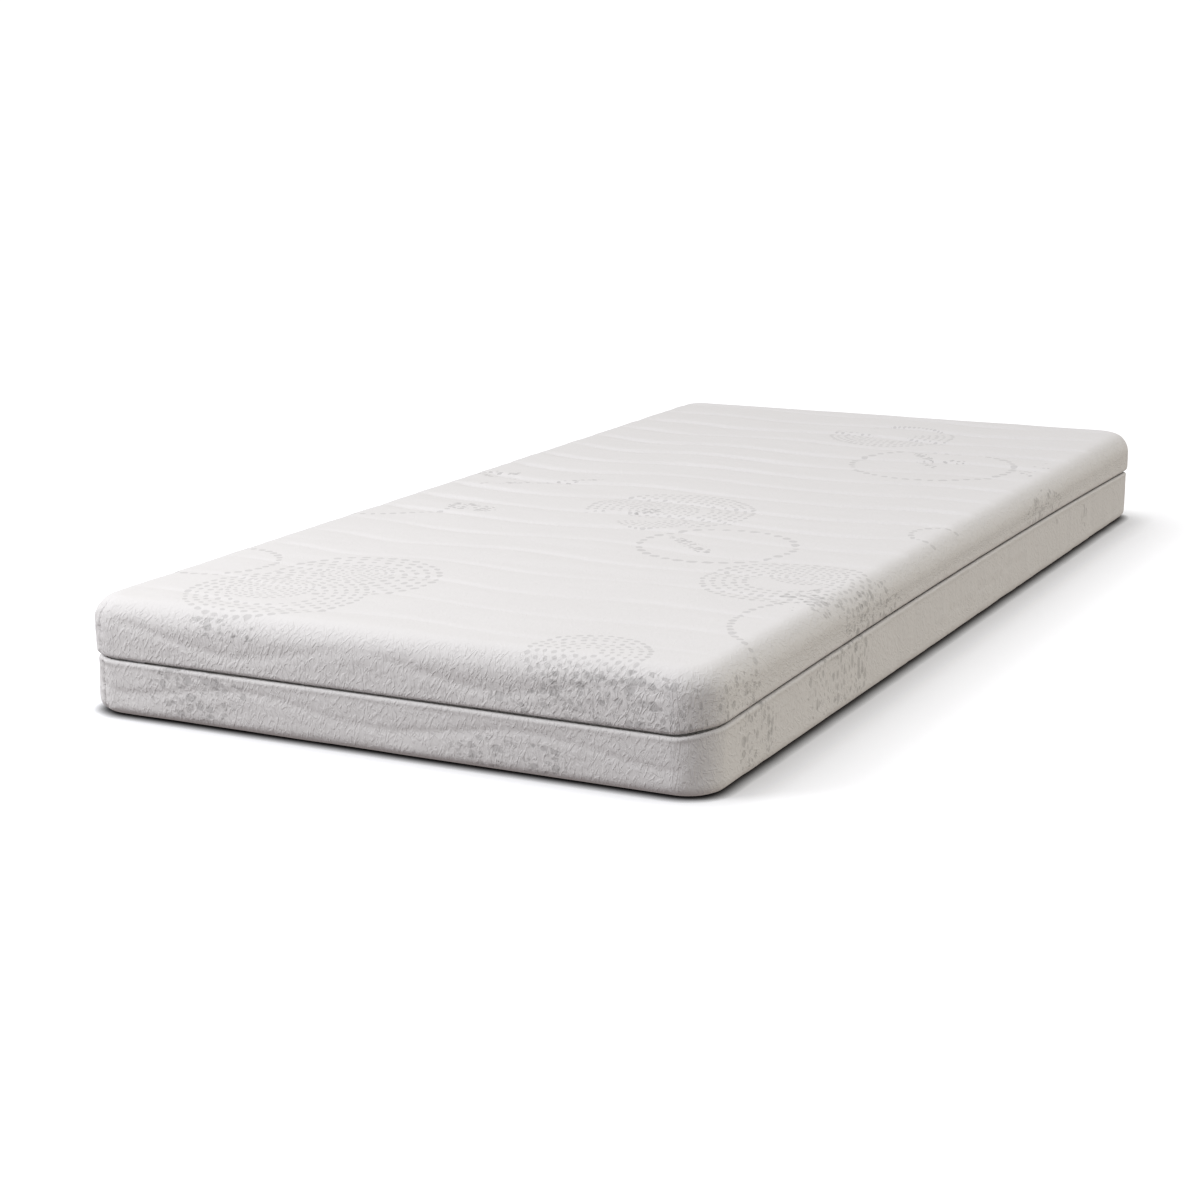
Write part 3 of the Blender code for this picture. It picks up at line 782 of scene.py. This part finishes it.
def knit_material(up):
    """Jacquard knit: woven circles, pebbles and leaves a shade darker than a finely crinkled ground."""
    material, n, shader = new_material(f"{NAMES[up]}_cover_knit")
    cloth = n.add("ShaderNodeUVMap", uv_map="cloth").outputs[0]
    stir = n.add("ShaderNodeTexNoise")
    n.plug(stir.inputs["Vector"], cloth)
    stir.inputs["Scale"].default_value = 75
    shift = n.vector("SCALE", n.vector("SUBTRACT", stir.outputs["Color"], (0.5, 0.5, 0.5)), scale=0.007)
    drawn = n.vector("MULTIPLY", n.vector("ADD", cloth, shift), (1, 1, 0))
    circles, pebbles, leaves = (
        (UPPER_CIRCLES, UPPER_PEBBLES, UPPER_LEAVES)
        if up > 0
        else (LOWER_CIRCLES, LOWER_PEBBLES, LOWER_LEAVES)
    )
    dots = circle_dots(n, drawn, circles)
    spots = patch_mask(n, cloth, pebbles)
    large = scattered(n, drawn, spots, (70, 82), 0.24, 0.54)
    small = scattered(n, drawn, spots, (138, 152), 0.18, 0.42)
    strokes = scattered(n, drawn, patch_mask(n, cloth, leaves), (100, 150), 0.36, 0.55)
    ground = n.noise(cloth, 9, 3.0)
    worn = n.noise(cloth, 60, 2.0)
    tone = n.math("MULTIPLY_ADD", ground, 0.030, 0.985)
    tone = n.math("MULTIPLY_ADD", worn, 0.020, n.math("SUBTRACT", tone, 0.010))
    for mark, darkness in ((dots, 0.165), (large, 0.21), (small, 0.18), (strokes, 0.24)):
        tone = n.math("MULTIPLY", tone, n.math("SUBTRACT", 1.0, n.math("MULTIPLY", mark, darkness)))
    n.plug(shader.inputs["Base Color"], n.vector("SCALE", KNIT_COLOUR, scale=tone))

    aside, _, rise = n.split(n.add("ShaderNodeNewGeometry").outputs["Normal"])
    steep = n.ramp(n.math("ABSOLUTE", rise), 0.60, 0.995, 1.0, 0.22)
    steep = n.math("MULTIPLY", steep, n.ramp(n.math("ABSOLUTE", aside), 0.6, 0.95, 1.0, 0.7))
    strands = 0.0
    for lean, across, along in ((24, 215, 74), (-31, 235, 84)):
        turned = n.add("ShaderNodeMapping", vector_type="TEXTURE")
        n.plug(turned.inputs["Vector"], cloth)
        turned.inputs["Rotation"].default_value = (0, 0, math.radians(lean))
        turned.inputs["Scale"].default_value = (1 / across, 1 / along, 1)
        strand = n.ramp(n.noise(turned.outputs[0], 1.0, 1.0, 0.5, 0.6), 0.47, 0.70)
        strands = n.math("MAXIMUM", strands, strand)
    crinkle = n.math("MULTIPLY", strands, steep)
    normal = n.bump(crinkle, 0.0008 if up > 0 else 0.00065, 0.85)
    marks = n.math("MAXIMUM", n.math("MAXIMUM", dots, large), n.math("MAXIMUM", small, strokes))
    normal = n.bump(n.math("SUBTRACT", 1.0, marks), 0.0003, 0.6, normal)
    normal = n.bump(n.noise(cloth, 750, 1.0), 0.00025, 0.5, normal)
    n.plug(shader.inputs["Normal"], normal)
    shader.inputs["Sheen Weight"].default_value = 0.08
    shader.inputs["Sheen Roughness"].default_value = 0.5
    return material


def weave_material(name, colour, across, down, depth, roughness=0.95):
    """Plain cloth with threads both ways: their spacings are in metres."""
    material, n, shader = new_material(name, roughness)
    x, y, _ = n.split(n.add("ShaderNodeUVMap", uv_map="cloth").outputs[0])
    waves = [n.math("SINE", n.math("MULTIPLY", c, 2 * math.pi / s)) for c, s in ((x, across), (y, down))]
    cross = n.math("MULTIPLY", *waves)
    cloth = n.join(x, y)
    tone = n.math("MULTIPLY_ADD", n.noise(cloth, 40, 3.0), 0.08, 0.95)
    tone = n.math("MULTIPLY_ADD", cross, 0.02, tone)
    n.plug(shader.inputs["Base Color"], n.vector("SCALE", colour, scale=tone))
    normal = n.bump(cross, depth, 0.7)
    n.plug(shader.inputs["Normal"], n.bump(n.noise(cloth, 600, 1.0), depth, 0.4, normal))
    return material


def foam_material(name, colour, pore):
    """Open-cell foam: round pores of about the given size in a slightly mottled ground."""
    material, n, shader = new_material(name, 0.98, 0.1)
    place = n.add("ShaderNodeTexCoord").outputs["Object"]
    coarse = n.cells(place, 1 / pore).outputs["Distance"]
    fine = n.cells(place, 2.6 / pore).outputs["Distance"]
    pores = n.math("MULTIPLY_ADD", n.ramp(coarse, 0.10, 0.45), 0.6, n.math("MULTIPLY", fine, 0.5))
    tone = n.math("MULTIPLY_ADD", pores, 0.09, 0.90)
    tone = n.math("MULTIPLY_ADD", n.noise(place, 14, 3.0), 0.05, tone)
    n.plug(shader.inputs["Base Color"], n.vector("SCALE", colour, scale=tone))
    n.plug(shader.inputs["Normal"], n.bump(pores, pore * 0.4, 0.8))
    return material


def fibre_material(name, colour):
    material, n, shader = new_material(name, 1.0, 0.05)
    place = n.add("ShaderNodeTexCoord").outputs["Object"]
    fibres = n.noise(place, 260, 3.0, 0.6, 2.5)
    tone = n.math("MULTIPLY_ADD", fibres, 0.12, 0.90)
    n.plug(shader.inputs["Base Color"], n.vector("SCALE", colour, scale=tone))
    n.plug(shader.inputs["Normal"], n.bump(fibres, 0.0015, 0.8))
    return material


def tape_material(name, colour):
    """Herringbone zip tape."""
    material, n, shader = new_material(name, 0.9)
    x, y, _ = n.split(n.add("ShaderNodeUVMap", uv_map="cloth").outputs[0])
    zigzag = n.math("PINGPONG", y, 0.0018)
    rib = n.math("SINE", n.math("MULTIPLY", n.math("ADD", x, zigzag), 2 * math.pi / 0.0011))
    tone = n.math("MULTIPLY_ADD", rib, 0.03, 0.97)
    n.plug(shader.inputs["Base Color"], n.vector("SCALE", colour, scale=tone))
    n.plug(shader.inputs["Normal"], n.bump(rib, 0.0002, 0.8))
    return material


def metal_material(name, colour):
    """Tumbled zinc: faint scratches and uneven gloss."""
    material, n, shader = new_material(name, 0.35, 0.5)
    place = n.add("ShaderNodeTexCoord").outputs["Object"]
    scratches = n.noise(n.vector("MULTIPLY", place, (300, 3000, 3000)), 1.0, 2.0)
    n.plug(shader.inputs["Base Color"], n.vector("SCALE", colour, scale=n.ramp(scratches, 0, 1, 0.9, 1.05)))
    n.plug(shader.inputs["Roughness"], n.ramp(scratches, 0.2, 0.8, 0.26, 0.44))
    n.plug(shader.inputs["Normal"], n.bump(scratches, 0.00005, 0.4))
    shader.inputs["Metallic"].default_value = 1.0
    return material


def nylon_material(name, colour):
    material, n, shader = new_material(name, 0.45, 0.4)
    place = n.add("ShaderNodeTexCoord").outputs["Object"]
    tone = n.math("MULTIPLY_ADD", n.noise(place, 500, 2.0), 0.10, 0.93)
    n.plug(shader.inputs["Base Color"], n.vector("SCALE", colour, scale=tone))
    n.plug(shader.inputs["Roughness"], n.ramp(n.noise(place, 900), 0, 1, 0.38, 0.55))
    return material


def thread_material(name, colour):
    """Twisted sewing thread: the ply runs round each stitch."""
    material, n, shader = new_material(name, 0.75, 0.3)
    x, y, _ = n.split(n.add("ShaderNodeUVMap", uv_map="cloth").outputs[0])
    ply = n.math("SINE", n.math("MULTIPLY_ADD", x, 2 * math.pi / 0.0009, n.math("MULTIPLY", y, 2 * math.pi)))
    tone = n.math("MULTIPLY_ADD", ply, 0.05, 0.95)
    n.plug(shader.inputs["Base Color"], n.vector("SCALE", colour, scale=tone))
    n.plug(shader.inputs["Normal"], n.bump(ply, 0.0001, 0.8))
    return material


# ---------------------------------------------------------------- pieces
def dress(item, material, body, slot, *replaced):
    item.data.materials.append(material)
    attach(item, body)
    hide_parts(*replaced)
    return item


def join_parts(parts):
    """Points, faces and coordinates of several small meshes as one."""
    points, faces, cloth, start = [], [], [], 0
    for p, f, c in parts:
        points.append(p)
        cloth.append(c)
        faces += [[k + start for k in face] for face in f]
        start += len(p)
    return np.concatenate(points), faces, np.concatenate(cloth)


def stitch(start, end, radius, sides=8):
    """One stitch of thread, thinner where it dives into the cloth."""
    axis = end - start
    length = np.linalg.norm(axis)
    axis = axis / length
    one = np.cross(axis, (0.3, 0.5, 0.81))
    one /= np.linalg.norm(one)
    two = np.cross(axis, one)
    turns = np.arange(sides) * 2 * np.pi / sides
    ring = np.outer(np.cos(turns), one) + np.outer(np.sin(turns), two)
    shares = ((0.0, 0.3), (0.12, 0.85), (0.35, 1.0), (0.65, 1.0), (0.88, 0.85), (1.0, 0.3))
    points = np.concatenate([start + axis * length * t + ring * radius * fat for t, fat in shares])
    round_it = turns / (2 * np.pi)
    cloth = np.concatenate([np.column_stack([np.full(sides, length * t), round_it]) for t, _ in shares])
    faces = [list(range(sides))[::-1], [k + sides * (len(shares) - 1) for k in range(sides)]]
    for k in range(len(shares) - 1):
        for m in range(sides):
            after = (m + 1) % sides
            here, beyond = k * sides, (k + 1) * sides
            faces.append([here + m, here + after, beyond + after, beyond + m])
    return points, faces, cloth


def sewn_line(path, stitch_length=0.0032, gap=0.0012, radius=0.00038):
    """A row of stitches along a path of points."""
    along = np.concatenate([[0], np.cumsum(np.linalg.norm(np.diff(path, axis=0), axis=1))])

    def at(s):
        return np.array([np.interp(s, along, path[:, k]) for k in range(3)])

    starts = np.arange(0.001, along[-1] - stitch_length, stitch_length + gap)
    return join_parts([stitch(at(s), at(s + stitch_length), radius) for s in starts])


def make_cover(up):
    side, body = NAMES[up], f"{NAMES[up]}_cover"
    steps = (12, 9, 12) if up > 0 else (6, 14, 12)
    level = cover_level(up)
    face = new_piece(
        f"{side}_cover_face",
        *shell(face_profile(up, *steps), up, level, face_relief(up), columns=96, rows=520, corner_steps=52),
    )
    dress(face, knit_material(up), body, "cover_knit", f"{side}_cover_face_fabric")

    section, over = wadding_profile(up), wadding_relief(up)
    padding = shell(section, up, level, over, closed=True, columns=60, rows=400, corner_steps=40)
    pad = new_piece(f"{side}_wadding_pad", *padding)
    dress(pad, wadding_white, body, "wadding", f"{side}_cover_wadding")

    lining = new_piece(
        f"{side}_lining_sheet",
        *shell(lining_profile(up), up, level, lining_relief(up), columns=60, rows=380),
    )
    dress(lining, lining_cloth, body, "lining", f"{side}_cover_lining")

    inset, far = TAPE_INSET, TAPE_INSET + TAPE_THICKNESS
    section = [(inset, CHAIN_SLIT), (inset, TAPE_TOP), (far, TAPE_TOP), (far, CHAIN_SLIT)]
    tape = new_piece(f"{side}_tape_band", *band(section, up))
    dress(tape, zip_tape, body, "zip_tape", f"{side}_zip_tape")

    teeth = new_piece(f"{side}_zip_teeth", *zip_teeth(up))
    dress(teeth, zip_nylon, body, "zip_coil", f"{side}_zip_coil")

    for place, corner in SEAM_CORNERS.items():
        centre, outward, _ = seam_frame(*corner)
        rows = 40
        edge, foot = edge_arc(0, up, rows), (0, GROOVE / 2 + LIP_RADIUS, 180)
        margin = wall((CORNER_RADIUS, edge[0][1]), edge[0], 3, 90)
        profile = margin + edge + wall(edge[-1], foot, rows) + [foot]
        rings = stations_at(centre[None], outward[None], profile, level, up)
        points, cloth, facing, _ = (np.concatenate(part) for part in zip(*rings))
        points = points + facing * (face_relief(up)(cloth, points, facing) + 0.0002)[:, None]
        sewn = points[len(margin) + int(rows * SEAM_STARTS) :]
        row = new_piece(f"{side}_seam_stitches_{place}", *sewn_line(sewn))
        dress(row, seam_thread, body, "seam_thread", f"{side}_corner_seam_{place}")


def zip_teeth(up):
    """Moulded teeth along the tape's edge, from the slider's side all round to the insertion pin."""
    pitch = 0.0018
    inset = COIL_INSET
    _, _, centres, normals, _ = outline(60, 120, 12)
    plan = centres + normals * (CORNER_RADIUS - inset)
    foot = -LENGTH / 2 + inset
    after = [k for k in range(len(plan)) if not (plan[k][1] == plan[0][1] and plan[k][0] < TEETH_START_X)]
    path = np.array([(TEETH_START_X, foot), *plan[after], plan[0], (TEETH_END_X, foot)])
    turned = np.array([(0, -1), *normals[after], (0, -1), (0, -1)])
    along = np.concatenate([[0], np.cumsum(np.linalg.norm(np.diff(path, axis=0), axis=1))])
    places = np.arange(pitch, along[-1] - pitch, pitch) + (pitch / 2 if up > 0 else 0)
    x, y, nx, ny = (np.interp(places, along, column) for column in (*path.T, *turned.T))
    size = np.hypot(nx, ny)
    nx, ny = nx / size, ny / size
    levels = ((COIL_TOP, 0.00042), (0.0014, 0.00034), (CHAIN_SLIT, 0.00058))
    corners = []
    for height, half in levels:
        for depth, sign in ((0, -1), (COIL_DEPTH, -1), (COIL_DEPTH, 1), (0, 1)):
            px = x - nx * depth - ny * sign * half
            py = y - ny * depth + nx * sign * half
            corners.append(np.column_stack([px, py, seam_line(x, y) + up * height]))
    points = np.stack(corners, 1).reshape(-1, 3)
    one = [[0, 1, 2, 3], [11, 10, 9, 8]]
    one += [[a + k, a + (k + 1) % 4, a + 4 + (k + 1) % 4, a + 4 + k][::-1] for a in (0, 4) for k in range(4)]
    if up > 0:
        one = [f[::-1] for f in one]
    faces = (np.array(one)[None] + 12 * np.arange(len(x))[:, None, None]).reshape(-1, 4).tolist()
    return points, faces, None


def foam_block(name, bottom, top, edge_radius, base_radius, grain):
    """A cut slab, its faces a little uneven."""
    middle = (bottom + top) / 2

    def section():
        upper = arc((CORE_INSET + edge_radius, top - edge_radius), edge_radius, 90, 180, 8)
        lower = arc((CORE_INSET + base_radius, bottom + base_radius), base_radius, 180, 270, 3)
        return upper + wall(upper[-1], lower[0], 8) + lower

    def uneven(cloth, points, facing):
        wave = lattice_noise(cloth[:, 0] + points[:, 2], cloth[:, 1], 0.09, 0.12, grain)
        return 0.00025 * (wave - 1) * np.where(points[:, 2] > middle, 1, -np.sign(facing[:, 2] - 0.5))

    points, faces, cloth = shell(section(), 1, flat_level, uneven, closed=True, columns=40, rows=84)
    return new_piece(name, points, faces, cloth)


def core_sleeve():
    """A knitted tube round both slabs, open at the ends, with a tighter hem at each."""
    half_x, reach = WIDTH / 2 - CORE_INSET, LENGTH / 2 - CORNER_RADIUS - SLEEVE_END_MARGIN
    grow = 0.0006
    radius, x = CORE_EDGE_RADIUS + grow, half_x + grow
    corner = (x - radius, CORE_TOP + grow - radius)
    quarter = np.linspace(0, math.pi / 2, 9)
    turn = [(corner[0] + radius * math.cos(a), corner[1] + radius * math.sin(a)) for a in quarter]
    low = CORE_BOTTOM - grow
    right = [(x - 0.003, low), (x - 0.001, low + 0.0006), (x, low + 0.0025)]
    right += [(x, low + (corner[1] - low) * k / 12) for k in range(1, 12)] + turn
    across = [(corner[0] * (1 - 2 * k / 90), CORE_TOP + grow) for k in range(1, 90)]
    under = [(-(x - 0.003) * (1 - 2 * k / 40), low) for k in range(1, 40)]
    loop = np.array(right + across + [(-px, pz) for px, pz in right[::-1]] + under)
    away = loop - np.roll(loop, 1, 0)
    round_it = np.cumsum(np.linalg.norm(away, axis=1))
    tangent = np.roll(loop, -1, 0) - np.roll(loop, 1, 0)
    outward = np.column_stack([tangent[:, 1], -tangent[:, 0]]) / np.linalg.norm(tangent, axis=1)[:, None]
    points, cloth = [], []
    rows = 170
    for y in np.linspace(-reach, reach, rows + 1):
        from_end = reach - abs(y)
        hem = -0.0002 * (from_end < 0.014) + 0.0002 * math.exp(-from_end / 0.03)
        ripple = 0.00022 * lattice_noise(round_it, np.full(len(loop), y), 0.018, 0.20, 21)
        ring = loop + outward * (hem + ripple)[:, None]
        points.append(np.column_stack([ring[:, 0], np.full(len(loop), y), ring[:, 1]]))
        cloth.append(np.column_stack([round_it, np.full(len(loop), y)]))
    count = len(loop)
    faces = []
    for k in range(rows):
        one = np.arange(count) + count * k
        faces += np.stack([one, np.roll(one, -1), np.roll(one, -1) + count, one + count], 1).tolist()
    return new_piece("sleeve_tube", np.concatenate(points), faces, np.concatenate(cloth))


wadding_white = fibre_material("wadding_white", (0.88, 0.88, 0.87))
lining_cloth = weave_material("lining_cloth", (0.80, 0.80, 0.79), 0.0016, 0.0016, 0.0002)
zip_tape = tape_material("zip_tape_weave", (0.74, 0.73, 0.71))
zip_nylon = nylon_material("zip_nylon", (0.72, 0.71, 0.69))
# The seam thread is a mid grey, darker than the knit: painted shade, so that the corner seams read as dark
# crease lines.
seam_thread = thread_material("seam_thread", (0.62, 0.61, 0.60))
zip_metal = metal_material("zip_metal", (0.62, 0.62, 0.63))

for up in (1, -1):
    make_cover(up)

base = foam_block("base_foam_block", CORE_BOTTOM, FOAM_JOINT - FOAM_GAP, 0.003, 0.003, 31)
dress(base, foam_material("base_foam_cells", (0.84, 0.84, 0.80), 0.0022), "core", "base_foam", "base_foam")
memory = foam_block("memory_foam_block", FOAM_JOINT, CORE_TOP, CORE_EDGE_RADIUS, 0.002, 32)
memory_cells = foam_material("memory_foam_cells", (0.90, 0.84, 0.66), 0.0013)
dress(memory, memory_cells, "core", "memory_foam", "memory_foam")
sleeve = core_sleeve()
sleeve_knit = weave_material("sleeve_knit", (0.88, 0.88, 0.87), 0.0026, 0.0016, 0.0003)
dress(sleeve, sleeve_knit, "core", "core_sleeve", "core_sleeve")

for name in METAL_NODES:
    node = nodes[name]
    node.data.materials.clear()
    node.data.materials.append(zip_metal)
    rounded = node.modifiers.new("rounded", "BEVEL")
    rounded.width = 0.00018
    rounded.segments = 2
    rounded.limit_method = "ANGLE"

bpy.context.scene.view_settings.view_transform = "Standard"
